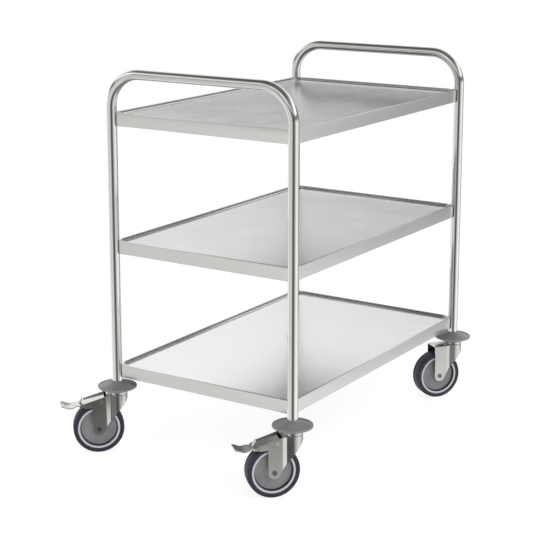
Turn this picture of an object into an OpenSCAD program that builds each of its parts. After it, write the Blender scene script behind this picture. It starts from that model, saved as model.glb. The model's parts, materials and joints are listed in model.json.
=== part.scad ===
// Three-tier food service trolley: two tube hoops, three pressed trays and four swivel casters.
// The trolley runs along X, its width is Y, the floor is Z = 0. The braked casters are at the rear, -X.

/* [Frame] */
// Distance between leg centres along the trolley
post_span_x = 822; // [600:1:1100]
// Distance between leg centres across the trolley
post_span_y = 506; // [400:1:700]
// Outer diameter of the leg and handle tube
tube_d = 25; // [25:0.1:25.4]
// Wall thickness of the tube
tube_wall = 1.25; // [1:0.05:1.25]
// Height of the top of the handles above the floor
handle_top = 946; // [900:1:1100]
// Centre-line radius of the handle bends
bend_r = 82; // [60:1:100]

/* [Trays] */
// Height of the top tray's rim above the floor
top_rim_z = 840; // [760:1:860]
// Height of the bottom tray's rim above the floor
bottom_rim_z = 220; // [215:1:300]
// Height of a tray's outer skirt
skirt_h = 32.5; // [28:0.5:36]
// Depth of the deck below the rim
deck_depth = 7; // [6:0.5:14]
// Width of the doubled rim, seen from above
rim_w = 5; // [4:0.5:8]
// Width of the hem that turns in at the foot of the skirt
hem_w = 12; // [8:1:20]
// Thickness of the tray sheet
sheet_t = 1.2; // [1:0.1:1.5]

/* [Bumpers] */
// Diameter of a bumper disc
bumper_d = 95; // [80:1:110]
// Height of a bumper's cone from its foot to its collar
bumper_h = 27; // [24:1:30]

/* [Casters] */
// Wheel diameter over the tyre
wheel_d = 125; // [120:1:125]
// Width of the tyre
tyre_w = 34; // [28:1:34]
// Distance from the swivel axis to the wheel's axle
trail = 48; // [44:1:50]
// Trail direction of the rear left caster, degrees from +X
rear_left_turn = 133; // [0:1:359]
// Trail direction of the rear right caster, degrees from +X
rear_right_turn = 138; // [0:1:359]
// Trail direction of the front right caster, degrees from +X
front_right_turn = 144; // [0:1:359]
// Trail direction of the front left caster, degrees from +X
front_left_turn = 143; // [0:1:359]
// Half the outer width of the fork over its legs
fork_half_w = 23.5; // [23:0.5:26]
// Thickness of the fork sheet
fork_t = 2; // [1.5:0.5:2.5]

/* [Hidden] */
$fn = 96;
overcut = 1;

steel = [0.80, 0.80, 0.78];
tube_steel = [0.86, 0.86, 0.85];
bumper_grey = [0.45, 0.45, 0.47];
wheel_grey = [0.55, 0.56, 0.58];
tyre_grey = [0.23, 0.24, 0.29];
rubber_black = [0.08, 0.08, 0.08];

tube_r = tube_d / 2;
tube_bore_r = tube_r - tube_wall;
half_x = post_span_x / 2;
half_y = post_span_y / 2;

// Rounded tray corners just reach the leg: r * (sqrt(2) - 1) = tube_r
weld_gap = 0.02;
corner_r = (tube_r + weld_gap) / (sqrt(2) - 1);
tray_rims = [top_rim_z, (top_rim_z + bottom_rim_z) / 2, bottom_rim_z];

// Bumper profile: a blunt rim part-way up a flared cone, and a collar against the leg
rim_round = 2.6;
rim_up = 12.5;
rim_shoulder = [0.9, 2.4];
cone_foot_r = 25;
collar_r = 15;
collar_cut = 2;

channel_w = 42;
channel_h = 16;
channel_y = 120;
channel_end_gap = 34;
weld_reach = 4.5;
weld_tip = 1.2;
fine = 720;

// Heights of the swivel, from the fork's top plate up to the leg's foot
axle_z = wheel_d / 2;
plate_top_z = 145.5;
plate_low_z = plate_top_z - fork_t;
leg_foot_z = 151;
race_low_z = 146.2;
race_roof_z = 149.6;
race_r = 24;
race_wall = 1.8;
ball_r = 1.65;
ball_ring_r = 17;
ball_count = 12;
ball_gap = 0.1;
ball_z = race_roof_z - ball_r - ball_gap;

king_pin_r = 7.9;
king_bore_r = 7.95;
race_bore_r = 8;
king_head_r = 12;
king_head_h = 4;
king_head_gap = 0.3;

stem_flange_r = 11;
stem_flange_h = 2;
stem_bolt_r = 5;
sleeve_r = 11.2;
sleeve_bore_r = 5.1;
sleeve_h = 48;
sleeve_gap = 0.2;
cone_h = 9;
cone_low_r = 6.5;
cone_top_r = 10.8;

// Outline of the fork in plan, forward is +X and the wheel trails towards -X
crown_r = 24;
crown_h = 7;
nose_half_w = 19.7;
step_back = -29;
step_front = -19;
step_lag = 0.3;
flare_turn = 17;
plan_back = -100;

// Outline of the fork from the side
boss_r = 15;
nose_low_z = 133;
step_low_z = 68;
// The longer cheek of a braked fork, from its sloping top round to its foot
cheek_outline = [[-81, 129.5], [-84, 125.5], [-84, 117], [-trail - boss_r, 115]];

axle_r = 4;
axle_bore_r = 4.02;
bush_bore_r = 4.08;
axle_head_r = 6;
axle_head_h = 1.6;
socket_r = 2.6;
socket_deep = 1.1;
nut_r = 7.5;
nut_h = 6.5;
thread_end = 1.5;

hub_r = 15;
hub_gap = 0.6;
hub_half_w = fork_half_w - fork_t - hub_gap;
bush_r = 8;
bush_len = 9;
band_r = 51.5;
band_in_r = 45.5;
band_half_w = 16;
web_half_w = 7;
web_hub_half_w = 11;
tyre_round = 2.5;

// Brake pedal, in the fork's own frame
pin_u = -42;
pin_z = 131.5;
pin_r = 3;
pin_hole_r = 3.02;
pedal_hole_r = 3.05;
pin_head_r = 4.6;
pin_head_h = 1.2;
pedal_t = 2;
pedal_half_w = 21;
blade_half_w = 22;
waist_half_w = 14;
pedal_tip_u = -139;
pedal_top = [[-34, 139], [-83, 126.5], [-100, 122.5], [-118, 118], [pedal_tip_u, 125.5]];
waist_u = [-103, -100];
flange_outline = [[-34, 139], [-83, 126.5], [-99, 122.7], [-99, 118.5], [-95, 116.5],
    [-63, 116.5], [-54, 125.5], [-34, 125.5]];
tab_half_w = 7;
tab_profile = [[-96, 121.8], [-88, 140], [-86, 139.2], [-93.4, 121.8]];
// How far the pedal turns down to set the brake, and the shoe's gap to the tyre there
press_turn = 7;
shoe_gap = 0.35;
shoe_front_u = -63;
shoe_back_u = -79;
shoe_half_w = 12;
shoe_seat = 0.02;

// The turned casters make the footprint lopsided; this puts its middle at the origin
function pedal_reach(turn) = -pedal_tip_u * abs(cos(turn)) + blade_half_w * abs(sin(turn));
function pedal_side(turn) = -pedal_tip_u * abs(sin(turn)) + blade_half_w * abs(cos(turn));
rear_x = max(pedal_reach(rear_left_turn), pedal_reach(rear_right_turn));
middle = [(rear_x - bumper_d / 2) / 2, (bumper_d / 2 - pedal_side(rear_left_turn)) / 2];

// Corner: name, side along X, side along Y, trail direction, has a brake
REAR_LEFT = ["rear_left", -1, 1, rear_left_turn, true];
REAR_RIGHT = ["rear_right", -1, -1, rear_right_turn, true];
FRONT_RIGHT = ["front_right", 1, -1, front_right_turn, false];
FRONT_LEFT = ["front_left", 1, 1, front_left_turn, false];
CORNERS = [REAR_LEFT, REAR_RIGHT, FRONT_RIGHT, FRONT_LEFT];
BRAKED = [REAR_LEFT, REAR_RIGHT];

FRAME_PARTS = ["handle_rear", "handle_front", "tray_top", "tray_middle", "tray_bottom",
    "channels_top", "channels_middle", "channels_bottom", "corner_welds"];
CORNER_PARTS = ["bumper", "stem", "expander", "swivel_race", "fork", "axle_bolt", "axle_nut",
    "wheel_core", "wheel_bushes", "tyre"];
BRAKE_PARTS = ["brake_pedal", "brake_pin", "brake_shoe"];

// ---- placing ----

module at_leg(corner) {
    translate([middle[0] + corner[1] * half_x, middle[1] + corner[2] * half_y, 0]) children();
}

// A caster's own frame: origin under the swivel axis, the wheel trailing towards -X
module at_caster(corner) {
    at_leg(corner) rotate([0, 0, corner[3] + 180]) children();
}

// Turns a shape drawn about Z so that it lies on the wheel's axle
module on_axle() {
    translate([-trail, 0, axle_z]) rotate([90, 0, 0]) children();
}

// Extrudes an outline drawn in (forward, up) across the caster
module across(half_w) {
    rotate([90, 0, 0]) translate([0, 0, -half_w]) linear_extrude(2 * half_w) children();
}

// ---- hoops ----

module hoop_run(r, foot_z) {
    turn_z = handle_top - tube_r - bend_r;
    for (side = [-1, 1]) {
        translate([0, side * half_y, foot_z]) cylinder(h = turn_z - foot_z, r = r);
        translate([0, side * (half_y - bend_r), turn_z]) rotate([90, 0, 90 * side])
            rotate_extrude(angle = 90) translate([bend_r, 0]) circle(r);
    }
    translate([0, -half_y + bend_r, turn_z + bend_r]) rotate([-90, 0, 0])
        cylinder(h = post_span_y - 2 * bend_r, r = r);
}

module hoop(side) {
    color(tube_steel) translate([middle[0] + side * half_x, middle[1], 0]) difference() {
        hoop_run(tube_r, leg_foot_z);
        hoop_run(tube_bore_r, leg_foot_z - overcut);
    }
}

// ---- trays ----

// The tray's plan outline, drawn in by a distance on every side
module tray_outline(inset) {
    x = post_span_x - 2 * inset;
    y = post_span_y - 2 * inset;
    r = corner_r - inset;
    square([x, y - 2 * r], center = true);
    square([x - 2 * r, y], center = true);
    for (sx = [-1, 1], sy = [-1, 1])
        translate([sx * (x / 2 - r), sy * (y / 2 - r)]) circle(r);
}

// One pressed sheet: sunken deck, doubled rim, outer skirt and a hem turned in at its foot
module tray(rim_z) {
    foot_z = rim_z - skirt_h;
    under_deck_z = rim_z - deck_depth - sheet_t;
    color(steel) translate([middle[0], middle[1], 0]) difference() {
        translate([0, 0, foot_z]) linear_extrude(skirt_h) tray_outline(0);
        translate([0, 0, rim_z - deck_depth]) linear_extrude(deck_depth + overcut)
            tray_outline(rim_w);
        translate([0, 0, foot_z + sheet_t]) linear_extrude(under_deck_z - foot_z - sheet_t)
            tray_outline(sheet_t);
        translate([0, 0, foot_z - overcut]) linear_extrude(sheet_t + 2 * overcut)
            tray_outline(hem_w);
        translate([0, 0, foot_z + 2 * sheet_t]) linear_extrude(skirt_h - 3 * sheet_t)
            difference() {
                tray_outline(sheet_t);
                tray_outline(rim_w - sheet_t);
            }
    }
}

// Two open channels under a deck, along the tray
module channels(rim_z) {
    top_z = rim_z - deck_depth - sheet_t;
    run = post_span_x - 2 * channel_end_gap;
    color(steel) translate([middle[0], middle[1], top_z - channel_h])
        for (side = [-1, 1]) translate([0, side * channel_y, channel_h / 2]) difference() {
            cube([run, channel_w, channel_h], center = true);
            translate([0, 0, sheet_t])
                cube([run + 2 * overcut, channel_w - 2 * sheet_t, channel_h], center = true);
        }
}

// Weld metal in the two narrow gaps beside the line where a corner meets its leg
module corner_weld(corner) {
    touch = tube_r / sqrt(2);
    linear_extrude(skirt_h) difference() {
        translate([-corner[1] * touch, -corner[2] * touch]) circle(weld_reach, $fn = fine);
        circle(tube_r, $fn = fine);
        translate([-corner[1] * touch, -corner[2] * touch]) circle(weld_tip, $fn = fine);
        translate([-corner[1] * corner_r, -corner[2] * corner_r]) circle(corner_r, $fn = fine);
    }
}

module corner_welds() {
    color(steel) for (rim_z = tray_rims, corner = CORNERS)
        at_leg(corner) translate([0, 0, rim_z - skirt_h]) corner_weld(corner);
}

// ---- bumpers and the fixed half of the casters ----

module bumper(corner) {
    rim_x = bumper_d / 2 - rim_round;
    rim_z = leg_foot_z + rim_up;
    top_z = leg_foot_z + bumper_h;
    color(bumper_grey) at_leg(corner) rotate_extrude() {
        polygon([[tube_r, leg_foot_z], [cone_foot_r, leg_foot_z],
            [rim_x + rim_shoulder[0], rim_z - rim_shoulder[1]],
            [rim_x + rim_shoulder[0], rim_z + rim_shoulder[1]],
            [collar_r + collar_cut, top_z - collar_cut], [collar_r, top_z], [tube_r, top_z]]);
        translate([rim_x, rim_z]) circle(rim_round);
    }
}

// King pin under the swivel, with the expander bolt and its cone above it, in the leg
module stem(corner) {
    head_z = plate_low_z - king_head_gap - king_head_h;
    flange_z = leg_foot_z;
    sleeve_z = flange_z + stem_flange_h + sleeve_gap;
    cone_z = sleeve_z + sleeve_h + sleeve_gap;
    color(steel) at_leg(corner) {
        translate([0, 0, head_z]) cylinder(h = king_head_h, r = king_head_r);
        translate([0, 0, head_z]) cylinder(h = flange_z - head_z, r = king_pin_r);
        translate([0, 0, flange_z]) cylinder(h = stem_flange_h, r = stem_flange_r);
        translate([0, 0, flange_z]) cylinder(h = cone_z - flange_z, r = stem_bolt_r);
        translate([0, 0, cone_z]) cylinder(h = cone_h, r1 = cone_low_r, r2 = cone_top_r);
    }
}

module expander(corner) {
    foot_z = leg_foot_z + stem_flange_h + sleeve_gap;
    color(rubber_black) at_leg(corner) translate([0, 0, foot_z]) difference() {
        cylinder(h = sleeve_h, r = sleeve_r);
        translate([0, 0, -overcut]) cylinder(h = sleeve_h + 2 * overcut, r = sleeve_bore_r);
    }
}

// Fixed upper race and its ring of balls
module swivel_race(corner) {
    color(steel) at_leg(corner) {
        difference() {
            translate([0, 0, race_low_z]) cylinder(h = leg_foot_z - race_low_z, r = race_r);
            translate([0, 0, race_low_z - overcut])
                cylinder(h = race_roof_z - race_low_z + overcut, r = race_r - race_wall);
            translate([0, 0, race_low_z])
                cylinder(h = leg_foot_z - race_low_z + overcut, r = race_bore_r);
        }
        for (i = [0 : ball_count - 1]) rotate([0, 0, i * 360 / ball_count])
            translate([ball_ring_r, 0, ball_z]) sphere(ball_r);
    }
}

// ---- forks ----

// Plan of the fork: straight legs, a step inwards, then a flare that runs into the round nose
module fork_plan(inset) {
    leg = fork_half_w - inset;
    nose = nose_half_w - inset;
    lag = inset * step_lag;
    crown = crown_r - inset;
    flare = [-crown * sin(flare_turn), crown * cos(flare_turn)];
    polygon([[plan_back, leg], [step_back - lag, leg], [step_front - lag, nose], flare,
        [flare[0], -flare[1]], [step_front - lag, -nose], [step_back - lag, -leg],
        [plan_back, -leg]]);
    circle(crown);
}

// Side of a leg: the axle boss, the cut-back front edge and, on a braked fork, a longer cheek
module fork_side(braked) {
    reach = norm([step_back + trail, step_low_z - axle_z]);
    lean = atan2(step_low_z - axle_z, step_back + trail) - acos(boss_r / reach);
    tangent = [-trail + boss_r * cos(lean), axle_z + boss_r * sin(lean)];
    front = [[-trail - boss_r, axle_z], [-trail, axle_z], tangent, [step_back, step_low_z],
        [crown_r, nose_low_z], [crown_r, plate_top_z]];
    rear = braked
        ? concat([[step_back, plate_top_z]], cheek_outline)
        : [[-trail - boss_r, plate_top_z]];
    polygon(concat(front, rear));
    translate([-trail, axle_z]) circle(boss_r);
}

module fork(corner) {
    braked = corner[4];
    color(steel) at_caster(corner) difference() {
        intersection() {
            union() {
                linear_extrude(plate_top_z) difference() {
                    fork_plan(0);
                    fork_plan(fork_t);
                }
                translate([0, 0, plate_low_z]) linear_extrude(fork_t) {
                    fork_plan(0);
                    circle(crown_r);
                }
                translate([0, 0, plate_top_z - crown_h]) linear_extrude(crown_h) difference() {
                    circle(crown_r);
                    circle(crown_r - fork_t);
                }
            }
            across(2 * fork_half_w) fork_side(braked);
        }
        translate([0, 0, plate_low_z - overcut])
            cylinder(h = fork_t + 2 * overcut, r = king_bore_r);
        on_axle() cylinder(h = 4 * fork_half_w, r = axle_bore_r, center = true);
        if (braked) translate([pin_u, 0, pin_z]) rotate([90, 0, 0])
            cylinder(h = 4 * fork_half_w, r = pin_hole_r, center = true);
    }
}

// ---- wheels ----

// The bolt's round head is on the fork's right, its nut on the left
module axle_bolt(corner) {
    end = fork_half_w + nut_h + thread_end;
    color(steel) at_caster(corner) on_axle() difference() {
        union() {
            translate([0, 0, -end]) cylinder(h = end + fork_half_w, r = axle_r);
            translate([0, 0, fork_half_w]) cylinder(h = axle_head_h, r = axle_head_r);
        }
        translate([0, 0, fork_half_w + axle_head_h - socket_deep])
            cylinder(h = socket_deep + overcut, r = socket_r, $fn = 6);
    }
}

module axle_nut(corner) {
    color(steel) at_caster(corner) on_axle() translate([0, 0, -fork_half_w - nut_h]) difference() {
        cylinder(h = nut_h, r = nut_r, $fn = 6);
        translate([0, 0, -overcut]) cylinder(h = nut_h + 2 * overcut, r = axle_bore_r);
    }
}

// Moulded disc wheel: hub, dished web and the raised band that carries the tyre
module wheel_core(corner) {
    color(wheel_grey) at_caster(corner) on_axle() rotate_extrude() {
        translate([bush_r, -hub_half_w]) square([hub_r - bush_r, 2 * hub_half_w]);
        polygon([[hub_r - 1, -web_hub_half_w], [band_in_r + 1, -web_half_w],
            [band_in_r + 1, web_half_w], [hub_r - 1, web_hub_half_w]]);
        translate([band_in_r, -band_half_w]) square([band_r - band_in_r, 2 * band_half_w]);
    }
}

module wheel_bushes(corner) {
    color(rubber_black) at_caster(corner) on_axle() for (side = [-1, 1])
        translate([0, 0, side * (hub_half_w - bush_len / 2)]) difference() {
            cylinder(h = bush_len, r = bush_r, center = true);
            cylinder(h = bush_len + 2 * overcut, r = bush_bore_r, center = true);
        }
}

module tyre(corner) {
    r = wheel_d / 2;
    half = tyre_w / 2;
    color(tyre_grey) at_caster(corner) on_axle() rotate_extrude() {
        translate([band_r, -half]) square([r - tyre_round - band_r, 2 * half]);
        translate([band_r, -half + tyre_round]) square([r - band_r, 2 * (half - tyre_round)]);
        for (side = [-1, 1]) translate([r - tyre_round, side * (half - tyre_round)])
            circle(tyre_round);
    }
}

// ---- brakes ----

// The pedal's sheet seen from the side, from one u position to another
module pedal_sheet(first, last) {
    top = [for (i = [first : last]) pedal_top[i]];
    low = [for (i = [last : -1 : first]) pedal_top[i] - [0, pedal_t]];
    polygon(concat(top, low));
}

module brake_pedal(corner) {
    color(steel) at_caster(corner) difference() {
        union() {
            across(pedal_half_w) pedal_sheet(0, 2);
            across(blade_half_w) pedal_sheet(2, 4);
            across(tab_half_w) polygon(tab_profile);
            difference() {
                across(pedal_half_w) polygon(flange_outline);
                across(pedal_half_w - pedal_t) polygon(flange_outline);
            }
        }
        for (side = [-1, 1])
            translate([waist_u[0], side * (waist_half_w + blade_half_w) - blade_half_w, 0])
                cube([waist_u[1] - waist_u[0], 2 * blade_half_w, plate_top_z]);
        translate([pin_u, 0, pin_z]) rotate([90, 0, 0])
            cylinder(h = 4 * fork_half_w, r = pedal_hole_r, center = true);
    }
}

module brake_pin(corner) {
    color(steel) at_caster(corner) translate([pin_u, 0, pin_z]) rotate([90, 0, 0]) {
        cylinder(h = 2 * fork_half_w, r = pin_r, center = true);
        for (side = [-1, 1]) translate([0, 0, side * (fork_half_w + pin_head_h / 2)])
            cylinder(h = pin_head_h, r = pin_head_r, center = true);
    }
}

// Rubber block under the pedal, hollowed so that it fits the tyre's curve when pressed
module brake_shoe(corner) {
    slope = (pedal_top[1][1] - pedal_top[0][1]) / (pedal_top[1][0] - pedal_top[0][0]);
    roof = pedal_top[0][1] - pedal_t - shoe_seat;
    front_z = roof + slope * (shoe_front_u - pedal_top[0][0]);
    back_z = roof + slope * (shoe_back_u - pedal_top[0][0]);
    color(rubber_black) at_caster(corner) difference() {
        across(shoe_half_w) polygon([[shoe_front_u, front_z], [shoe_back_u, back_z],
            [shoe_back_u, axle_z], [shoe_front_u, axle_z]]);
        translate([pin_u, 0, pin_z]) rotate([0, press_turn, 0])
            translate([-trail - pin_u, 0, axle_z - pin_z]) rotate([90, 0, 0])
                cylinder(h = 4 * shoe_half_w, r = wheel_d / 2 + shoe_gap, center = true);
    }
}

// ---- the assembly ----

hoop(-1);  // handle_rear
hoop(1);  // handle_front
tray(tray_rims[0]);  // tray_top
tray(tray_rims[1]);  // tray_middle
tray(tray_rims[2]);  // tray_bottom
channels(tray_rims[0]);  // channels_top
channels(tray_rims[1]);  // channels_middle
channels(tray_rims[2]);  // channels_bottom
corner_welds();
for (corner = CORNERS) {
    bumper(corner);
    stem(corner);
    expander(corner);
    swivel_race(corner);
    fork(corner);
    axle_bolt(corner);
    axle_nut(corner);
    wheel_core(corner);
    wheel_bushes(corner);
    tyre(corner);
}
for (corner = BRAKED) {
    brake_pedal(corner);
    brake_pin(corner);
    brake_shoe(corner);
}
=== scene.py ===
"""Looks of the food service trolley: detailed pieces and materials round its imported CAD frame."""

import json
import math

import bmesh
import bpy
from mathutils import Matrix, Vector


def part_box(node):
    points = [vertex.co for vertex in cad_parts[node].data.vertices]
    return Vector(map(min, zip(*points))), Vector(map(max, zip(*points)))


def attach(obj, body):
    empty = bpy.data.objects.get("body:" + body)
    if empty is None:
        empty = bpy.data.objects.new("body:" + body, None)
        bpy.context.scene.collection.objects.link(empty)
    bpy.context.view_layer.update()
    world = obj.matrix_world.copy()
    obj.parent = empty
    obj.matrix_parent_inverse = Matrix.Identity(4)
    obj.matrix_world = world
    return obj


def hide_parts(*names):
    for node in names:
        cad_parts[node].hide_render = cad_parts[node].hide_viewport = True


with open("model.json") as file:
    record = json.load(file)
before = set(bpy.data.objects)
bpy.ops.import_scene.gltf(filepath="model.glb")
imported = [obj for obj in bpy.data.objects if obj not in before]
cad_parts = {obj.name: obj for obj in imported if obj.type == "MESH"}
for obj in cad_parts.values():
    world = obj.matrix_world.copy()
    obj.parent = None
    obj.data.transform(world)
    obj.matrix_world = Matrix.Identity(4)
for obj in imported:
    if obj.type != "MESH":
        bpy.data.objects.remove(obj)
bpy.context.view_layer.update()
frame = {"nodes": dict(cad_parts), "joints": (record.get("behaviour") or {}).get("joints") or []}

MM = 0.001
CORNERS = ("rear_left", "rear_right", "front_right", "front_left")
BRAKED = ("rear_left", "rear_right")
LEVELS = ("top", "middle", "bottom")
joints = {j["name"]: j for j in frame["joints"]}

# ---------------------------------------------------------------- sizes from the frame


def middle(node):
    """Centre of a CAD node's box."""
    low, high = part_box(node)
    return (low + high) / 2


def size(node):
    """Length of each side of a CAD node's box."""
    low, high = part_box(node)
    return high - low


HOOP_LOW, HOOP_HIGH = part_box("handle_rear")
TUBE_R = (HOOP_HIGH.x - HOOP_LOW.x) / 2
HALF_Y = (HOOP_HIGH.y - HOOP_LOW.y) / 2 - TUBE_R
MID_X = middle("tray_top").x
MID_Y = middle("tray_top").y
FOOT_Z = HOOP_LOW.z
HANDLE_TOP = HOOP_HIGH.z
TUBE_WALL = 1.25 * MM
PLUG_DEPTH = 64 * MM
BEND_R = 82 * MM

SHEET = 1.2 * MM
RIM_W = 5 * MM
DECK_DEPTH = 7 * MM
DECK_EDGE = 7 * MM
HEM_W = 12 * MM
# A rounded corner of this radius just reaches the leg
CORNER_R = (TUBE_R + 0.02 * MM) / (math.sqrt(2) - 1)
LEG_GAP = 0.08 * MM

WHEEL_R = size("tyre_rear_left").z / 2
TRAIL = 48 * MM

# ---------------------------------------------------------------- mesh helpers


def add_piece(name, bm, body, materials, node, smooth_deg=35):
    """Makes a closed mesh into a piece that rides on a body and stands for a CAD node."""
    bmesh.ops.remove_doubles(bm, verts=bm.verts, dist=1e-6)
    bmesh.ops.recalc_face_normals(bm, faces=bm.faces)
    mesh = bpy.data.meshes.new(name)
    bm.to_mesh(mesh)
    bm.free()
    for polygon in mesh.polygons:
        polygon.use_smooth = True
    mesh.set_sharp_from_angle(angle=math.radians(smooth_deg))
    for material in materials:
        mesh.materials.append(material)
    piece = bpy.data.objects.new(name, mesh)
    bpy.context.scene.collection.objects.link(piece)
    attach(piece, body)
    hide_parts(node)


def fillet(points, radii, steps=5, closed=True):
    """Rounds the corners of a flat outline; radii has one radius a corner, 0 for a sharp one."""
    out = []
    count = len(points)
    for i, (p, r) in enumerate(zip(points, radii)):
        p = Vector(p)
        ends = not closed and i in (0, count - 1)
        if ends or r <= 0:
            out.append(p)
            continue
        a = (Vector(points[i - 1]) - p).normalized()
        b = (Vector(points[(i + 1) % count]) - p).normalized()
        half = a.angle(b) / 2
        reach = r / math.tan(half)
        centre = p + (a + b).normalized() * (r / math.sin(half))
        start, end = p + a * reach - centre, p + b * reach - centre
        turn = math.atan2(start.x * end.y - start.y * end.x, start.dot(end))
        for k in range(steps + 1):
            angle = turn * k / steps
            c, s = math.cos(angle), math.sin(angle)
            out.append(centre + Vector((start.x * c - start.y * s, start.x * s + start.y * c)))
    return out


def loft(bm, rings, close_ends=True, close_loop=False):
    """Joins closed rings of equal length with quads; returns the faces, one list a step."""
    rows = [[bm.verts.new(co) for co in ring] for ring in rings]
    count = len(rows[0])
    steps = []
    pairs = list(zip(rows, rows[1:])) + ([(rows[-1], rows[0])] if close_loop else [])
    for low, high in pairs:
        steps.append([bm.faces.new((low[i], low[(i + 1) % count],
                                    high[(i + 1) % count], high[i])) for i in range(count)])
    if close_ends and not close_loop:
        bm.faces.new(rows[0][::-1])
        bm.faces.new(rows[-1])
    return steps


def revolve(bm, profile, segments, place):
    """Turns a closed outline of (radius, height) points about Z, then places it."""
    rings = []
    for k in range(segments):
        a = 2 * math.pi * k / segments
        rings.append([place @ Vector((r * math.cos(a), r * math.sin(a), h)) for r, h in profile])
    loft(bm, rings, close_loop=True)


def scaled(points):
    """Points given in millimetres, in metres."""
    return [Vector((p[0] * MM, p[1] * MM)) for p in points]


# ---------------------------------------------------------------- materials


class Nodes:
    """A short way to write a node material."""

    def __init__(self, name):
        self.material = bpy.data.materials.new(name)
        self.material.use_nodes = True
        self.tree = self.material.node_tree
        self.tree.nodes.clear()
        self.shader = self.add("ShaderNodeBsdfPrincipled")
        out = self.add("ShaderNodeOutputMaterial")
        self.link(self.shader.outputs["BSDF"], out.inputs["Surface"])
        self.coords = self.add("ShaderNodeTexCoord")

    def add(self, kind, **settings):
        """A new node with the given settings."""
        node = self.tree.nodes.new(kind)
        for key, value in settings.items():
            setattr(node, key, value)
        return node

    def link(self, a, b):
        self.tree.links.new(a, b)

    def place(self, scale, source="Object"):
        """Coordinates stretched by a scale."""
        node = self.add("ShaderNodeMapping")
        node.inputs["Scale"].default_value = scale
        self.link(self.coords.outputs[source], node.inputs["Vector"])
        return node.outputs["Vector"]

    def noise(self, scale, stretch=(1, 1, 1), detail=4, rough=0.55, source="Object"):
        """Noise from 0 to 1."""
        node = self.add("ShaderNodeTexNoise")
        node.inputs["Scale"].default_value = scale
        node.inputs["Detail"].default_value = detail
        node.inputs["Roughness"].default_value = rough
        self.link(self.place(stretch, source), node.inputs["Vector"])
        return node.outputs["Fac"]

    def span(self, value, low, high, to_low=0.0, to_high=1.0):
        """A value mapped from low..high to to_low..to_high, and held at both ends."""
        node = self.add("ShaderNodeMapRange")
        for key, v in (("From Min", low), ("From Max", high), ("To Min", to_low),
                       ("To Max", to_high)):
            node.inputs[key].default_value = v
        self.link(value, node.inputs["Value"])
        return node.outputs["Result"]

    def math(self, operation, a, b):
        """Two numbers or outputs put together."""
        node = self.add("ShaderNodeMath", operation=operation)
        for socket, v in zip(node.inputs, (a, b)):
            if isinstance(v, (int, float)):
                socket.default_value = v
            else:
                self.link(v, socket)
        return node.outputs[0]

    def blend(self, factor, a, b):
        """From colour a to colour b as the factor goes from 0 to 1."""
        node = self.add("ShaderNodeMix", data_type="RGBA")
        self.link(factor, node.inputs["Factor"])
        sockets = [s for s in node.inputs if s.type == "RGBA"]
        for socket, v in zip(sockets, (a, b)):
            if isinstance(v, tuple):
                socket.default_value = (*v, 1)
            else:
                self.link(v, socket)
        return [s for s in node.outputs if s.type == "RGBA"][0]

    def bump(self, height, strength, distance, normal=None):
        """A normal raised by a height, on top of an earlier one."""
        node = self.add("ShaderNodeBump")
        node.inputs["Strength"].default_value = strength
        node.inputs["Distance"].default_value = distance
        self.link(height, node.inputs["Height"])
        if normal is not None:
            self.link(normal, node.inputs["Normal"])
        return node.outputs["Normal"]

    def edge(self):
        """1 on worn outer edges, 0 elsewhere."""
        geometry = self.add("ShaderNodeNewGeometry")
        return self.span(geometry.outputs["Pointiness"], 0.51, 0.58)

    def set(self, **values):
        """Colours, numbers or outputs for the shader's sockets; returns the material."""
        for key, v in values.items():
            socket = self.shader.inputs[key.replace("_", " ")]
            if isinstance(v, tuple):
                socket.default_value = (*v, 1)
            elif isinstance(v, (int, float)):
                socket.default_value = v
            else:
                self.link(v, socket)
        return self.material


def steel(name, dark, light, rough_low, rough_high, grain, source="Object", wave=0.02):
    """Stainless steel: brushed grain, fine scratches, cloudy tone and a slightly wavy surface."""
    n = Nodes(name)
    lines = n.noise(1.0, grain, detail=3, rough=0.7, source=source)
    cloud = n.noise(9.0, detail=3)
    marks = n.noise(1.0, tuple(g * 0.35 + 40 for g in grain), detail=2, source=source)
    scratch = n.span(marks, 0.66, 0.72)
    tone = n.math("ADD", n.math("MULTIPLY", lines, 0.6), n.math("MULTIPLY", cloud, 0.4))
    colour = n.blend(n.span(tone, 0.3, 0.7), dark, light)
    colour = n.blend(n.edge(), colour, tuple(min(1, v * 1.12) for v in light))
    rough = n.span(n.math("ADD", tone, n.math("MULTIPLY", scratch, 0.25)), 0.3, 0.95,
                   rough_low, rough_high)
    flow = n.noise(5.0, detail=1)
    normal = n.bump(flow, wave, 4 * MM)
    normal = n.bump(lines, 0.10, 0.05 * MM, normal)
    normal = n.bump(scratch, 0.06, 0.03 * MM, normal)
    return n.set(Metallic=1.0, Base_Color=colour, Roughness=rough, Normal=normal)


def moulded(name, base, light, rough, worn, grain=900.0, bump=0.25):
    """Moulded plastic or rubber: fine grain, cloudy tone, scuffs and slightly worn edges."""
    n = Nodes(name)
    fine = n.noise(grain, detail=3)
    cloud = n.noise(28.0, detail=4)
    scuff = n.span(n.noise(60.0, (1, 1, 0.25), detail=6, rough=0.75), 0.58, 0.74)
    colour = n.blend(n.span(cloud, 0.32, 0.68), base, light)
    colour = n.blend(n.math("MULTIPLY", scuff, 0.25), colour, worn)
    colour = n.blend(n.math("MULTIPLY", n.edge(), 0.5), colour, worn)
    roughness = n.span(n.math("ADD", fine, n.math("MULTIPLY", scuff, 0.3)), 0.3, 0.9,
                       rough - 0.06, rough + 0.1)
    normal = n.bump(fine, bump, 0.06 * MM)
    normal = n.bump(cloud, 0.08, 0.4 * MM, normal)
    return n.set(Base_Color=colour, Roughness=roughness, Normal=normal)


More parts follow.
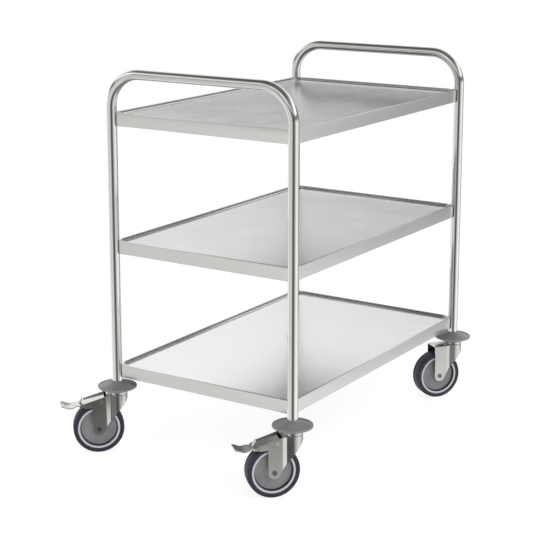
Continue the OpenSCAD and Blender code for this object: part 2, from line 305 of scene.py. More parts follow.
def zinc(name, dark, light, rough_low, rough_high):
    """Zinc-plated pressed steel: soft cloudy plating, drawing lines and a few small pits."""
    n = Nodes(name)
    cloud = n.noise(26.0, detail=3, rough=0.5)
    fine = n.noise(320.0, detail=2)
    lines = n.noise(1.0, (900, 900, 90), detail=2)
    pits = n.span(n.noise(520.0, detail=2), 0.70, 0.76)
    tone = n.math("ADD", n.math("MULTIPLY", cloud, 0.8), n.math("MULTIPLY", fine, 0.2))
    colour = n.blend(n.span(tone, 0.35, 0.65), dark, light)
    colour = n.blend(n.edge(), colour, tuple(min(1, v * 1.15) for v in light))
    rough = n.span(n.math("ADD", tone, n.math("MULTIPLY", pits, 0.2)), 0.35, 0.85,
                   rough_low, rough_high)
    normal = n.bump(lines, 0.06, 0.03 * MM)
    normal = n.bump(pits, 0.05, 0.03 * MM, normal)
    return n.set(Metallic=1.0, Base_Color=colour, Roughness=rough, Normal=normal)


TUBE_STEEL = steel("tube_steel", (0.67, 0.67, 0.645), (0.76, 0.76, 0.735), 0.09, 0.17,
                   (60, 2600, 2600), source="UV", wave=0.015)
SHEET_X = steel("sheet_grain_along", (0.60, 0.605, 0.595), (0.70, 0.705, 0.695), 0.16, 0.28,
                (14, 1500, 1500))
SHEET_Y = steel("sheet_grain_across", (0.60, 0.605, 0.58), (0.70, 0.705, 0.68), 0.16, 0.28,
                (1500, 14, 1500))
DECK = steel("deck_grain", (0.64, 0.64, 0.64), (0.73, 0.73, 0.73), 0.22, 0.32,
             (14, 1500, 1500))
WELD = steel("weld", (0.42, 0.41, 0.39), (0.62, 0.61, 0.58), 0.25, 0.45, (700, 700, 900))
FORK = zinc("fork_zinc", (0.50, 0.50, 0.475), (0.58, 0.58, 0.555), 0.20, 0.30)
BOLT = zinc("bolt_zinc", (0.42, 0.42, 0.42), (0.56, 0.56, 0.56), 0.20, 0.34)
AXLE = zinc("axle_steel", (0.14, 0.14, 0.14), (0.22, 0.22, 0.22), 0.3, 0.45)
BUMPER = moulded("bumper_plastic", (0.205, 0.205, 0.210), (0.26, 0.26, 0.265), 0.30,
                 worn=(0.24, 0.245, 0.26))
DISC = moulded("wheel_disc", (0.20, 0.203, 0.210), (0.26, 0.263, 0.270), 0.38,
               worn=(0.30, 0.305, 0.315))
RING = moulded("wheel_ring", (0.47, 0.48, 0.52), (0.56, 0.57, 0.61), 0.4,
               worn=(0.58, 0.59, 0.61))
# Painted shade: a near-black plastic on the groove's faces stands in for the shade down in the
# groove between the disc and the ring
GROOVE_SHADE = moulded("wheel_groove_shade", (0.030, 0.031, 0.034), (0.055, 0.056, 0.060), 0.7,
                 worn=(0.09, 0.09, 0.10))
TYRE = moulded("tyre_rubber", (0.020, 0.022, 0.036), (0.031, 0.034, 0.052), 0.58,
               grain=1400.0, bump=0.35, worn=(0.075, 0.079, 0.10))
TREAD = moulded("tyre_tread", (0.034, 0.037, 0.050), (0.062, 0.066, 0.082), 0.62,
                grain=1400.0, bump=0.35, worn=(0.13, 0.135, 0.15))
RUBBER = moulded("black_rubber", (0.02, 0.02, 0.02), (0.035, 0.035, 0.035), 0.6,
                 worn=(0.07, 0.07, 0.07))
NYLON = moulded("black_nylon", (0.03, 0.03, 0.032), (0.05, 0.05, 0.052), 0.4,
                worn=(0.09, 0.09, 0.09))

# ---------------------------------------------------------------- hoops


def hoop_path():
    """Centre line of a hoop in its own plane, as (y, z, direction) from one foot to the other."""
    turn_z = HANDLE_TOP - TUBE_R - BEND_R
    points = []
    for z in (FOOT_Z, FOOT_Z + (turn_z - FOOT_Z) * 0.5):
        points.append((-HALF_Y, z, math.pi / 2))
    steps = 24
    for k in range(steps + 1):
        a = math.pi / 2 * k / steps
        points.append((-HALF_Y + BEND_R * (1 - math.cos(a)), turn_z + BEND_R * math.sin(a),
                       math.pi / 2 - a))
    points.append((0.0, turn_z + BEND_R, 0.0))
    mirrored = [(-y, z, -turn) for y, z, turn in reversed(points[:-1])]
    return points + mirrored


def hoop(name, around=56):
    """One bent tube: two legs and the handle between them, open at its feet."""
    x = middle(name).x
    path = hoop_path()
    bm = bmesh.new()
    uv = bm.loops.layers.uv.new("UVMap")

    def ring(y, z, turn, r):
        """A circle square to the path; turn is the path's direction."""
        out = []
        for k in range(around):
            a = 2 * math.pi * k / around
            across = r * math.sin(a)
            out.append(Vector((x + r * math.cos(a), MID_Y + y - across * math.sin(turn),
                               z + across * math.cos(turn))))
        return out

    bore = TUBE_R - TUBE_WALL
    plug_z = FOOT_Z + PLUG_DEPTH
    lip = 0.3 * MM
    first, last = path[0], path[-1]
    rings = [ring(first[0], plug_z, first[2], bore), ring(*first, bore),
             ring(*first, TUBE_R - lip), ring(first[0], FOOT_Z + lip, first[2], TUBE_R)]
    rings += [ring(y, z, turn, TUBE_R) for y, z, turn in path[1:-1]]
    rings += [ring(last[0], FOOT_Z + lip, last[2], TUBE_R), ring(*last, TUBE_R - lip),
              ring(*last, bore), ring(last[0], plug_z, last[2], bore)]
    steps = loft(bm, rings)
    length = 0.0
    for i, faces in enumerate(steps):
        step = (rings[i + 1][0] - rings[i][0]).length
        for k, face in enumerate(faces):
            for loop, (du, dv) in zip(face.loops, ((0, 0), (1, 0), (1, 1), (0, 1))):
                loop[uv].uv = (length + dv * step, (k + du) / around * 2 * math.pi * TUBE_R)
        length += step
    add_piece(f"{name}_tube", bm, "frame", [TUBE_STEEL], name)


hoop("handle_rear")
hoop("handle_front")

# ---------------------------------------------------------------- trays


def tray_ring(centre, half_x, half_y, inset, z, cut_out, steps=10):
    """A rectangle at one inset and height, rounded at its corners or cut out round the legs."""
    if cut_out:
        r = TUBE_R + LEG_GAP + inset
        lean = math.degrees(math.asin(inset / r))
        x, y, first, last = half_x, half_y, 270 - lean, 180 + lean
    else:
        r = CORNER_R - inset
        x, y, first, last = half_x - CORNER_R, half_y - CORNER_R, 0, 90
    ring = []
    for sx, sy, start in ((1, 1, 0), (-1, 1, 90), (-1, -1, 180), (1, -1, 270)):
        for k in range(steps + 1):
            a = math.radians(start + first + (last - first) * k / steps)
            ring.append(Vector((centre.x + sx * x + r * math.cos(a),
                                centre.y + sy * y + r * math.sin(a), z)))
    return ring


def tray(level):
    """A pressed tray: sunken deck, raised rim, skirt and hem."""
    node = f"tray_{level}"
    low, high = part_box(node)
    centre = (low + high) / 2
    half_x, half_y = (high.x - low.x) / 2, (high.y - low.y) / 2
    skirt = high.z - low.z
    deck_edge = RIM_W + DECK_EDGE
    outline = [(deck_edge, -DECK_DEPTH), (RIM_W, -DECK_DEPTH), (RIM_W, 0), (0, 0), (0, -skirt),
               (HEM_W, -skirt), (HEM_W, -skirt + SHEET), (SHEET, -skirt + SHEET),
               (SHEET, -SHEET), (RIM_W - SHEET, -SHEET),
               (RIM_W - SHEET, -DECK_DEPTH - SHEET), (deck_edge, -DECK_DEPTH - SHEET)]
    radii = [0, 2.2, 1.3, 1.6, 1.4, 0.4, 0.4, 0.5, 0.5, 0.3, 1.2, 0]
    profile = fillet(outline, [r * MM for r in radii], steps=5, closed=False)
    bm = bmesh.new()
    loft(bm, [tray_ring(centre, half_x, half_y, p.x, high.z + p.y,
                        p.x < RIM_W / 2 or p.y < -skirt / 2) for p in profile])
    bm.normal_update()
    deck_z = high.z - DECK_DEPTH
    for face in bm.faces:
        on_deck = abs(face.calc_center_median().z - deck_z) < 0.5 * MM
        faces_ends = abs(face.normal.x) > 0.72
        face.material_index = 2 if on_deck else 1 if faces_ends else 0
    add_piece(f"{node}_sheet", bm, "frame", [SHEET_X, SHEET_Y, DECK], node,
              smooth_deg=40)


for level in LEVELS:
    tray(level)

# ---------------------------------------------------------------- bumpers


def leg(corner):
    """A point on the leg's centre line."""
    return Vector(joints[f"swivel_turn_{corner}"]["pos_m"])


# A bumper's half outline: (radius, height above its foot) and corner radii, in millimetres
BUMPER_FOOT = 151.0
BUMPER_HALF = [((12.5, 0), 0.3), ((24.5, 0), 1.5), ((43.5, 9.2), 3), ((47.5, 10.4), 1.6),
               ((47.5, 15.0), 1.6), ((44.5, 16.2), 3), ((18.0, 24.8), 4), ((14.6, 27), 0.9),
               ((12.5, 27), 0.2)]


def bumper(corner):
    """A moulded disc round the foot of a leg."""
    outline = [(r, BUMPER_FOOT + h) for (r, h), _ in BUMPER_HALF]
    profile = fillet(scaled(outline), [v * MM for _, v in BUMPER_HALF], steps=5)
    bm = bmesh.new()
    place = Matrix.Translation((leg(corner).x, leg(corner).y, 0))
    revolve(bm, profile, 112, place)
    add_piece(f"bumper_disc_{corner}", bm, "frame", [BUMPER],
              f"bumper_{corner}")


for corner in CORNERS:
    bumper(corner)

# ---------------------------------------------------------------- casters


def caster_place(corner):
    """Matrix from a caster's own frame, wheel trailing towards -X, to the row frame."""
    wheel = Vector(joints[f"wheel_roll_{corner}"]["pos_m"])
    back = wheel - leg(corner)
    turn = math.atan2(back.y, back.x) + math.pi
    return Matrix.Translation((leg(corner).x, leg(corner).y, 0)) @ Matrix.Rotation(turn, 4, "Z")


def axle_place(corner):
    """Matrix that lays Z along the axle, towards the caster's right."""
    return (caster_place(corner) @ Matrix.Translation((-TRAIL, 0, WHEEL_R))
            @ Matrix.Rotation(math.pi / 2, 4, "X"))


# Right half of the tyre and wheel outlines, (radius, distance along the axle) and corner radii
TYRE_HALF = [((51.5, 16.5), 0.5), ((54.0, 17.0), 1.0), ((60.0, 17.0), 1.2), ((61.9, 15.2), 1.0),
             ((62.0, 13.6), 0.3), ((61.0, 13.2), 0), ((61.0, 12.2), 0), ((62.2, 11.8), 0.3),
             ((62.3, 8.6), 0.3), ((61.3, 8.2), 0), ((61.3, 7.2), 0), ((62.4, 6.8), 0.3)]
CORE_HALF = [((8.0, 20.9), 0), ((13.2, 20.9), 0.8), ((15.0, 19.3), 0.8), ((15.0, 12.4), 2.0),
             ((18.0, 10.6), 3.0), ((38.0, 8.2), 4.0), ((43.4, 9.6), 1.4), ((44.9, 7.4), 0.5),
             ((45.6, 7.6), 0.4), ((45.9, 15.0), 0.8), ((46.8, 16.0), 0.5), ((51.5, 16.0), 0)]
# Radii where the groove's near-black painted shade, the raised ring and the tread begin
GROOVE_SHADE_FROM, RING_FROM, TREAD_FROM = 44.0 * MM, 46.1 * MM, 61.7 * MM


def both_sides(half, steps):
    """The closed outline whose right half is given."""
    outline = [p for p, _ in half] + [(r, -h) for (r, h), _ in reversed(half)]
    radii = [v * MM for _, v in half]
    return fillet(scaled(outline), radii + radii[::-1], steps=steps)


def tyre(corner):
    """The tyre, with its grooved tread."""
    bm = bmesh.new()
    place = axle_place(corner)
    revolve(bm, both_sides(TYRE_HALF, 4), 128, place)
    axle = place.inverted()
    for face in bm.faces:
        p = axle @ face.calc_center_median()
        face.material_index = 1 if math.hypot(p.x, p.y) > TREAD_FROM else 0
    add_piece(f"tyre_ring_{corner}", bm, f"wheel_{corner}", [TYRE, TREAD],
              f"tyre_{corner}")


def wheel_core(corner):
    """The plastic wheel: hub, dished disc, groove painted near black as its shade, and raised ring.
    """
    bm = bmesh.new()
    place = axle_place(corner)
    revolve(bm, both_sides(CORE_HALF, 4), 128, place)
    axle = place.inverted()
    for face in bm.faces:
        p = axle @ face.calc_center_median()
        r = math.hypot(p.x, p.y)
        # Faces in the groove get the near-black painted shade; the ring gets its own lighter
        # plastic
        face.material_index = 2 if r > RING_FROM else 1 if r > GROOVE_SHADE_FROM else 0
    add_piece(f"wheel_disc_{corner}", bm, f"wheel_{corner}",
              [DISC, GROOVE_SHADE, RING], f"wheel_core_{corner}", smooth_deg=30)


# The fork in millimetres: u runs forward from the swivel axis, w to the side and z up
AXLE_U, AXLE_Z, BOSS_R = -48.0, 62.5, 15.0
FORK_HALF, FORK_T, FORK_TOP = 23.5, 2, 145.5
# Where the leg's side ends and steps in, with the wall's foot there and at the nose
BEND_U, BEND_FOOT = -29, 68
STEP_U, STEP_HALF = -19, 19.7
NOSE_FOOT = 133
# A braked fork's cheeks: their foot, and the top edge at their back
CHEEK_FOOT = 117.0
CHEEK_BACK_U, CHEEK_BACK_Z = -81, 129.5
CROWN_R = 24.0
FLARE = math.radians(17)
STEP_LAG = 0.3
TOP_GAP = 0.15
EDGE_CUT = 0.4
STEM_BORE = 7.95


def fork_low(u):
    """Lower edge of the fork's wall at u: round the boss, up its tangent, then up to the nose."""
    if u < AXLE_U - BOSS_R:
        return CHEEK_FOOT
    reach, rise = BEND_U - AXLE_U, BEND_FOOT - AXLE_Z
    lean = math.atan2(rise, reach) - math.acos(BOSS_R / math.hypot(reach, rise))
    touch = AXLE_U + BOSS_R * math.cos(lean)
    if u <= touch:
        return AXLE_Z - math.sqrt(max(0.0, BOSS_R ** 2 - (u - AXLE_U) ** 2))
    if u <= BEND_U:
        z = AXLE_Z + BOSS_R * math.sin(lean)
        return z + (BEND_FOOT - z) * (u - touch) / (BEND_U - touch)
    return BEND_FOOT + (NOSE_FOOT - BEND_FOOT) * (u - BEND_U) / (CROWN_R - BEND_U)


def fork_high(u, braked):
    """Upper edge of the fork's wall at u; a braked fork's cheeks slope down under the pedal."""
    if braked and u < BEND_U:
        slope = (CHEEK_BACK_Z - FORK_TOP) / (CHEEK_BACK_U - BEND_U)
        return FORK_TOP + slope * (u - BEND_U)
    return FORK_TOP


def along(points, u):
    """Height of a line of (u, value) points at u."""
    if u <= points[0][0]:
        return points[0][1]
    for (a, p), (b, q) in zip(points, points[1:]):
        if u <= b:
            return p + (q - p) * (u - a) / (b - a) if b > a else q
    return points[-1][1]


def boolean(bm, other, operation):
    """Exact union or difference of two closed meshes; returns a new one."""
    objects = []
    for k, part in enumerate((bm, other)):
        bmesh.ops.remove_doubles(part, verts=part.verts, dist=1e-6)
        bmesh.ops.recalc_face_normals(part, faces=part.faces)
        mesh = bpy.data.meshes.new(f"work_{k}")
        part.to_mesh(mesh)
        part.free()
        work = bpy.data.objects.new(f"work_{k}", mesh)
        bpy.context.scene.collection.objects.link(work)
        objects.append(work)
    base, tool = objects
    modifier = base.modifiers.new("cut", "BOOLEAN")
    modifier.operation, modifier.solver, modifier.object = operation, "EXACT", tool
    result = base.evaluated_get(bpy.context.evaluated_depsgraph_get())
    out = bmesh.new()
    out.from_mesh(result.to_mesh())
    result.to_mesh_clear()
    for work in objects:
        mesh = work.data
        bpy.data.objects.remove(work)
        bpy.data.meshes.remove(mesh)
    return out


def fork_line(inset):
    """The leg, the step inwards and the flare out to the crown, as (u, w) points."""
    r = CROWN_R - inset
    lag = STEP_LAG * inset
    return fillet([(-90, FORK_HALF - inset), (BEND_U - lag, FORK_HALF - inset),
                   (STEP_U - lag, STEP_HALF - inset), (-r * math.sin(FLARE), r * math.cos(FLARE))],
                  [0, 4 - inset / 2, 3 + inset, 0], closed=False)


FORK_OUTER, FORK_INNER = fork_line(0), fork_line(FORK_T)


def wall(line, crown_r, u):
    """Half-width of the fork at u: the leg's line up to the crown, then the round nose."""
    if u <= line[-1].x:
        return along(line, u)
    return math.sqrt(max(0.0025, crown_r ** 2 - u ** 2))


def half_section(u, braked, bend):
    """Left half of the fork's cross-section at u, as (w, z) points from the outer foot inwards."""
    outer = wall(FORK_OUTER, CROWN_R, u)
    inner = wall(FORK_INNER, CROWN_R - FORK_T, u)
    low, high = fork_low(u), fork_high(u, braked) - TOP_GAP
    bend = min(bend, outer - 0.05)
    points = [(outer, low + EDGE_CUT)]
    points += [(outer - bend * (1 - math.cos(a)), high - bend * (1 - math.sin(a)))
               for a in (math.pi / 2 * k / 4 for k in range(5))]
    inner_top = high - FORK_T if u < CROWN_R - FORK_T else low + 0.3
    inner_w = min(inner, outer - bend - 0.02)
    lip = min(EDGE_CUT, (outer - inner) / 3)
    points += [(inner_w, high), (inner, inner_top), (inner, low + EDGE_CUT), (inner + lip, low),
               (outer - lip, low)]
    return points


# Where the fork's cross-sections stand: closest together at its bends and its nose
BOSS_BACK = [AXLE_U - BOSS_R * math.cos(math.pi / 2 * k / 8) for k in range(1, 9)]
BOSS_FRONT = [AXLE_U + BOSS_R * math.sin(math.radians(6 * k)) for k in range(1, 11)]
LEG_STATIONS = sorted(u for u in [AXLE_U - BOSS_R] + BOSS_BACK + BOSS_FRONT if u < -33)
STEP_STATIONS = [-32.5, -31, -30, -29.4, -29.2, -29, -28.2, -27, -25.5, -24, -22.5, -21, -20,
                 -19.4, -18.8, -18, -16.5, -15, -13, -11, -9, -7.6, -7.02, -6.43, -5.5, -4, -2]
NOSE_STATIONS = [(CROWN_R - FORK_T) * math.sin(math.radians(7.5 * k)) for k in range(12)]
TIP_STATIONS = [22.001, 22.5, 23.0, 23.4, 23.7, 23.9, 23.98]
CHEEK_STATIONS = [-84, -82.5, -81, -72, -64, -63.02]
SHEET_BEND = 1.8
# Points of a half section from the outer foot to the top, before the inner wall starts
OUTER_POINTS = 7


def fork(corner):
    """The pressed fork; a braked one has two open cheeks at the back, which carry the pedal."""
    braked = corner in BRAKED
    place = caster_place(corner)
    bm = bmesh.new()

    def ring(u, bend, side=0):
        """A cross-section at u: the whole one, or the left (1) or right (-1) wall alone."""
        half = half_section(u, braked, bend)
        left = [place @ Vector((u * MM, w * MM, z * MM)) for w, z in half]
        right = [place @ Vector((u * MM, -w * MM, z * MM)) for w, z in half]
        if side:
            return left if side > 0 else right
        return (left[:OUTER_POINTS] + right[:OUTER_POINTS][::-1]
                + right[OUTER_POINTS:][::-1] + left[OUTER_POINTS:])

    front = [u for u in STEP_STATIONS if not braked or u >= BEND_U] + NOSE_STATIONS + TIP_STATIONS
    if braked:
        cheek = CHEEK_STATIONS + LEG_STATIONS + [u for u in STEP_STATIONS if u <= BEND_U]
        for side in (1, -1):
            # The bend along the top grows from the cheek's thin edge to the crown's round one
            rings = [ring(u, SHEET_BEND if u == BEND_U else 0.5 + 1.3 * max(0, (u + 33) / 4), side)
                     for u in cheek]
            steps = loft(bm, rings, close_ends=False)
            bm.faces.new([f.verts[0] for f in steps[0]])
        top = half_section(BEND_U, True, SHEET_BEND)[OUTER_POINTS - 1:OUTER_POINTS + 1]
        a, b, c, d = (bm.verts.new(place @ Vector((BEND_U * MM, s * w * MM, z * MM)))
                      for s in (1, -1) for w, z in top)
        bm.faces.new((a, b, d, c))
        steps = loft(bm, [ring(u, SHEET_BEND) for u in front], close_ends=False)
    else:
        steps = loft(bm, [ring(u, SHEET_BEND) for u in LEG_STATIONS + front], close_ends=False)
        bm.faces.new([f.verts[0] for f in steps[0]])
    bm.faces.new([f.verts[2] for f in steps[-1]])
    crown = [(STEM_BORE, 143.6), (STEM_BORE, FORK_TOP), (23.85, FORK_TOP), (23.85, 138.5),
             (22.15, 138.5), (22.15, 143.6)]
    radii = [0, 0.2, 1.9, 0.5, 0.5, 0.8]
    cup = bmesh.new()
    revolve(cup, fillet(scaled(crown), [r * MM for r in radii], steps=4), 72, place)
    bore = bmesh.new()
    bmesh.ops.create_cone(bore, cap_ends=True, segments=72, radius1=STEM_BORE * MM,
                          radius2=STEM_BORE * MM, depth=20 * MM,
                          matrix=place @ Matrix.Translation((0, 0, 144 * MM)))
    bm = boolean(boolean(bm, bore, "DIFFERENCE"), cup, "UNION")
    add_piece(f"fork_sheet_{corner}", bm, f"swivel_{corner}", [FORK],
              f"fork_{corner}", smooth_deg=28)


# The pedal's top line as (u, z) points and bend radii, from its pin to its upturned tip
PEDAL_LINE = [((-34, 139), 0), ((-83, 126.5), 40), ((-100, 122.5), 30), ((-118, 118), 16),
              ((-139, 125.5), 0)]
# Its half width and the depth of its sides, by u
PEDAL_WIDTH = [(-139.5, 17.5), (-138.6, 20), (-136.5, 21.6), (-132, 22), (-108, 21), (-104, 17.5),
               (-102, 14.4), (-100, 14), (-98, 14.6), (-96, 19.5), (-94.5, 21), (-30, 21)]
PEDAL_DEPTH = [(-139, 2.05), (-101, 2.05), (-99, 3.6), (-95, 6.6), (-63, 14.4), (-54, 9.4),
               (-40, 12.6), (-34, 13.2)]
PEDAL_SHEET, PEDAL_EDGE, PEDAL_STEP = 2.0, 0.5, 0.9
# Ribs across the tip: where they start, their pitch and their height
RIB_FROM, RIB_PITCH, RIB_HEIGHT = -112, 5.2, 0.55
TAB_FOOT = Vector((-94.9, 0, 121.2))
TAB_UP = Vector((8, 0, 18.2)).normalized()
TAB_HALF, TAB_TALL = 7, 19


def pedal_stations():
    """Points along the pedal's top line, about one step apart."""
    line = fillet([p for p, _ in PEDAL_LINE], [r for _, r in PEDAL_LINE], steps=10, closed=False)
    stations = []
    for a, b in zip(line, line[1:]):
        count = max(1, round((b - a).length / PEDAL_STEP))
        stations += [a + (b - a) * (k / count) for k in range(count)]
    return stations + [line[-1]]


def pedal_tab(place):
    """The rounded tab that stands up from the pedal."""
    face = Vector((TAB_UP.z, 0, -TAB_UP.x))
    outline = fillet([(-TAB_HALF, 0), (-TAB_HALF, TAB_TALL), (TAB_HALF, TAB_TALL), (TAB_HALF, 0)],
                     [0, 4, 4, 0], steps=6)
    rings = []
    for depth, inset in ((-0.9, 0.3), (-0.6, 0), (0.6, 0), (0.9, 0.3)):
        rings.append([place @ ((TAB_FOOT + TAB_UP * (q.y - (inset if q.y > 10 else 0))
                                + Vector((0, q.x * (1 - inset / TAB_HALF), 0))
                                + face * depth) * MM) for q in outline])
    tab = bmesh.new()
    loft(tab, rings)
    return tab


def pedal(corner):
    """The pressed brake pedal: a channel that narrows, then widens to an upturned ribbed tip."""
    place = caster_place(corner)
    stations = pedal_stations()
    bm = bmesh.new()
    rings = []
    for k, p in enumerate(stations):
        ahead = stations[min(k + 1, len(stations) - 1)] - stations[max(k - 1, 0)]
        down = Vector((ahead.y, -ahead.x)).normalized()
        if down.y > 0:
            down = -down
        w, d = along(PEDAL_WIDTH, p.x), along(PEDAL_DEPTH, p.x)
        wave = math.sin((p.x - RIB_FROM) * 2 * math.pi / RIB_PITCH)
        rib = RIB_HEIGHT * max(0.0, wave) if p.x < RIB_FROM else 0.0
        half = [(w, d - 0.3), (w, 1.2), (w - 0.15, PEDAL_EDGE), (w - PEDAL_EDGE, 0.12),
                (w - 1.3, 0), (w - 2.2, -rib)]
        inside = [(w - PEDAL_SHEET - 0.3, PEDAL_SHEET), (w - PEDAL_SHEET, PEDAL_SHEET + 0.02),
                  (w - PEDAL_SHEET, d), (w - 0.3, d)]
        section = ([(1, h) for h in half] + [(-1, h) for h in half[::-1]]
                   + [(-1, h) for h in inside[::-1]] + [(1, h) for h in inside])
        rings.append([place @ Vector(((p.x + down.x * depth) * MM, side * across * MM,
                                      (p.y + down.y * depth) * MM))
                      for side, (across, depth) in section])
    loft(bm, rings)
    bm = boolean(bm, pedal_tab(place), "UNION")
    add_piece(f"pedal_plate_{corner}", bm, f"pedal_{corner}", [FORK],
              f"brake_pedal_{corner}", smooth_deg=32)


for corner in CORNERS:
    tyre(corner)
    wheel_core(corner)
    fork(corner)
for corner in BRAKED:
    pedal(corner)

# ---------------------------------------------------------------- CAD nodes that stay

KEPT = [(BOLT, ("stem", "swivel_race", "axle_nut", "brake_pin")), (AXLE, ("axle_bolt",)),
        (RUBBER, ("expander", "brake_shoe")), (NYLON, ("wheel_bushes",)),
        (SHEET_X, ("channels",)), (WELD, ("corner_welds",))]
for material, starts in KEPT:
    for name, node in frame["nodes"].items():
        if name.startswith(starts):
            if not node.material_slots:
                node.data.materials.append(material)
            for slot in node.material_slots:
                slot.material = material

# ---------------------------------------------------------------- studio


# Brightness round the room near and below the horizon, by degrees from +X
ENV_ROUND = [(0, 0.6), (15, 0.35), (32, 0.25), (50, 0.5), (65, 1.0), (78, 1.30), (97, 1.22),
             (113, 1.00), (126, 0.78), (138, 0.68), (149, 0.80), (160, 0.90), (170, 0.86),
             (181, 0.66), (190, 0.40), (198, 0.20), (207, 0.11), (218, 0.10), (227, 0.17),
             (236, 0.38), (244, 0.58), (254, 0.82), (264, 0.98), (275, 1.12), (286, 1.22),
             (298, 1.16), (311, 0.96), (326, 0.98), (336, 0.78), (348, 0.70)]
ENV_BACK = 0.68
# Brightness by elevation above the horizon, and its share against the round of the room
ENV_HIGH = [(-90, 0.20), (4, 0.22), (9, 0.20), (12, 0.64), (16, 1.45), (33, 1.40), (55, 0.36),
            (90, 0.20)]
ENV_SHARE = [(-90, 1.0), (-62, 0.4), (-50, 0.0), (-1, 0.0), (5, 1.0)]
# Darker patches: azimuth, elevation, full and faded radius, share of the light kept
ENV_PATCHES = [(342, -6, 5, 18, 0.30), (327, 17, 5, 10, 0.12), (125, 50, 12, 45, 0.25),
               (152, 17, 13, 21, 0.10), (225, 40, 15, 45, 0.25), (20, 3, 7, 17, 0.15)]


def ramp_node(tree, value, reach, stops):
    """A colour ramp over -reach..reach of an angle, from (degrees, brightness) stops."""
    place = tree.nodes.new("ShaderNodeMapRange")
    place.inputs["From Min"].default_value = -reach
    place.inputs["From Max"].default_value = reach
    tree.links.new(value, place.inputs["Value"])
    ramp = tree.nodes.new("ShaderNodeValToRGB")
    tree.links.new(place.outputs["Result"], ramp.inputs["Fac"])
    elements = ramp.color_ramp.elements
    while len(elements) < len(stops):
        elements.new(0.5)
    for element, (degrees, light) in zip(elements, stops):
        element.position = (math.radians(degrees) + reach) / (2 * reach)
        element.color = (light, light, light, 1)
    return ramp.outputs["Color"]


def angle_node(tree, operation, *numbers):
    """An angle worked out from one or two numbers."""
    node = tree.nodes.new("ShaderNodeMath")
    node.operation = operation
    for number, socket in zip(numbers, node.inputs):
        tree.links.new(number, socket)
    return node.outputs[0]


def darker_patch(tree, direction, light, patch):
    """The light with one soft round patch of the room made darker."""
    azimuth, elevation, inner, outer = (math.radians(v) for v in patch[:4])
    dot = tree.nodes.new("ShaderNodeVectorMath")
    dot.operation = "DOT_PRODUCT"
    tree.links.new(direction, dot.inputs[0])
    dot.inputs[1].default_value = (math.cos(azimuth) * math.cos(elevation),
                                   math.sin(azimuth) * math.cos(elevation), math.sin(elevation))
    fade = tree.nodes.new("ShaderNodeMapRange")
    for socket, value in (("From Min", math.cos(outer)), ("From Max", math.cos(inner)),
                          ("To Min", 1.0), ("To Max", patch[4])):
        fade.inputs[socket].default_value = value
    tree.links.new(dot.outputs["Value"], fade.inputs["Value"])
    scale = tree.nodes.new("ShaderNodeVectorMath")
    scale.operation = "SCALE"
    tree.links.new(light, scale.inputs[0])
    tree.links.new(fade.outputs["Result"], scale.inputs["Scale"])
    return scale.outputs["Vector"]


def studio_world():
    """The room as the steel reflects it; straight to the camera it is plain white."""
    world = bpy.data.worlds.new("studio")
    bpy.context.scene.world = world
    world.use_nodes = True
    tree = world.node_tree
    tree.nodes.clear()
    direction = tree.nodes.new("ShaderNodeTexCoord").outputs["Generated"]
    split = tree.nodes.new("ShaderNodeSeparateXYZ")
    tree.links.new(direction, split.inputs[0])
    azimuth = angle_node(tree, "ARCTAN2", split.outputs["Y"], split.outputs["X"])
    elevation = angle_node(tree, "ARCSINE", split.outputs["Z"])
    turned = sorted(((a - 360 if a > 180 else a), v) for a, v in ENV_ROUND)
    low = ramp_node(tree, azimuth, math.pi, [(-180, ENV_BACK)] + turned + [(180, ENV_BACK)])
    high = ramp_node(tree, elevation, math.pi / 2, ENV_HIGH)
    share = ramp_node(tree, elevation, math.pi / 2, ENV_SHARE)
    band = tree.nodes.new("ShaderNodeMix")
    band.data_type = "RGBA"
    tree.links.new(share, band.inputs[0])
    colours = [socket for socket in band.inputs if socket.type == "RGBA"]
    tree.links.new(low, colours[0])
    tree.links.new(high, colours[1])
    light = [socket for socket in band.outputs if socket.type == "RGBA"][0]
    for patch in ENV_PATCHES:
        light = darker_patch(tree, direction, light, patch)
    studio = tree.nodes.new("ShaderNodeBackground")
    tree.links.new(light, studio.inputs["Color"])
    backdrop = tree.nodes.new("ShaderNodeBackground")
    backdrop.inputs["Color"].default_value = (1, 1, 1, 1)
    rays = tree.nodes.new("ShaderNodeLightPath")
    mix = tree.nodes.new("ShaderNodeMixShader")
    tree.links.new(rays.outputs["Is Camera Ray"], mix.inputs["Fac"])
    tree.links.new(studio.outputs[0], mix.inputs[1])
    tree.links.new(backdrop.outputs[0], mix.inputs[2])
    out = tree.nodes.new("ShaderNodeOutputWorld")
    tree.links.new(mix.outputs[0], out.inputs["Surface"])


studio_world()


def floor():
    """A wide sheet of pale paper under the wheels, which the steel doesn't mirror."""
    n = Nodes("floor_paper")
    tone = n.blend(n.noise(1.5, detail=3), (0.30, 0.30, 0.30), (0.33, 0.33, 0.33))
    grain = n.bump(n.noise(400.0), 0.1, 0.2 * MM)
    paper = n.set(Base_Color=tone, Roughness=0.9, Normal=grain, Emission_Color=(1.0, 1.0, 1.0),
                  Emission_Strength=0.82)
    bm = bmesh.new()
    bmesh.ops.create_grid(bm, x_segments=8, y_segments=8, size=40)
    mesh = bpy.data.meshes.new("floor")
    bm.to_mesh(mesh)
    bm.free()
    mesh.materials.append(paper)
    sheet = bpy.data.objects.new("floor", mesh)
    sheet.location.z = -0.2 * MM
    sheet.visible_glossy = False
    bpy.context.scene.collection.objects.link(sheet)


floor()


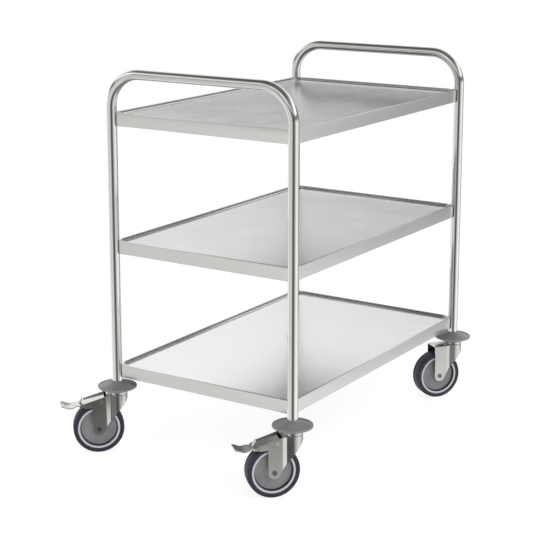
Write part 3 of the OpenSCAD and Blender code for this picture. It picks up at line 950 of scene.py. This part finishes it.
def area_light(name, place, aim, sides, power, shape="DISK"):
    """A soft box, unseen by the camera; only a rectangular one is mirrored in the steel."""
    light = bpy.data.lights.new(name, "AREA")
    light.energy, light.shape = power, shape
    light.size, light.size_y = sides
    lamp = bpy.data.objects.new(name, light)
    lamp.visible_camera = False
    lamp.visible_glossy = shape == "RECTANGLE"
    lamp.location = place
    lamp.rotation_mode = "QUATERNION"
    lamp.rotation_quaternion = (Vector(aim) - Vector(place)).to_track_quat("-Z", "Y")
    bpy.context.scene.collection.objects.link(lamp)


area_light("key", (-2.2, -3.0, 3.4), (0, 0, 0.4), (2.2, 2.2), 60)
area_light("fill", (-3.4, 1.6, 2.4), (0, 0, 0.4), (2.0, 2.0), 25)
# A wide soft box that only the handles are high enough to mirror
area_light("side_box", (-2.5, 1.65, 1.95), (0, 0, 1.6), (2.6, 1.3), 8.6, "RECTANGLE")

# ---------------------------------------------------------------- camera

CAMERA_AZIMUTH = math.radians(-57.0)
CAMERA_ELEVATION = math.radians(11.82)
# The camera's place from the middle of the trays, in plan, and its height
CAMERA_ACROSS, CAMERA_HEIGHT = (-3.0908, -1.9227), 1.3415
IMAGE_SIDE, FOCAL_LENGTH, AXIS_ROW = 533, 1469.1, 202
SENSOR = 36
camera_data = bpy.data.cameras.new("camera")
camera_data.sensor_width = SENSOR
camera_data.lens = SENSOR * FOCAL_LENGTH / IMAGE_SIDE
camera_data.shift_y = (AXIS_ROW - IMAGE_SIDE / 2) / IMAGE_SIDE
camera = bpy.data.objects.new("camera", camera_data)
back = Vector((math.sin(CAMERA_AZIMUTH) * math.cos(CAMERA_ELEVATION),
               -math.cos(CAMERA_AZIMUTH) * math.cos(CAMERA_ELEVATION),
               math.sin(CAMERA_ELEVATION)))
camera.location = (MID_X + CAMERA_ACROSS[0], MID_Y + CAMERA_ACROSS[1], CAMERA_HEIGHT)
camera.rotation_mode = "QUATERNION"
camera.rotation_quaternion = (-back).to_track_quat("-Z", "Y")
bpy.context.scene.collection.objects.link(camera)
bpy.context.scene.camera = camera
bpy.context.scene.view_settings.view_transform = "Standard"
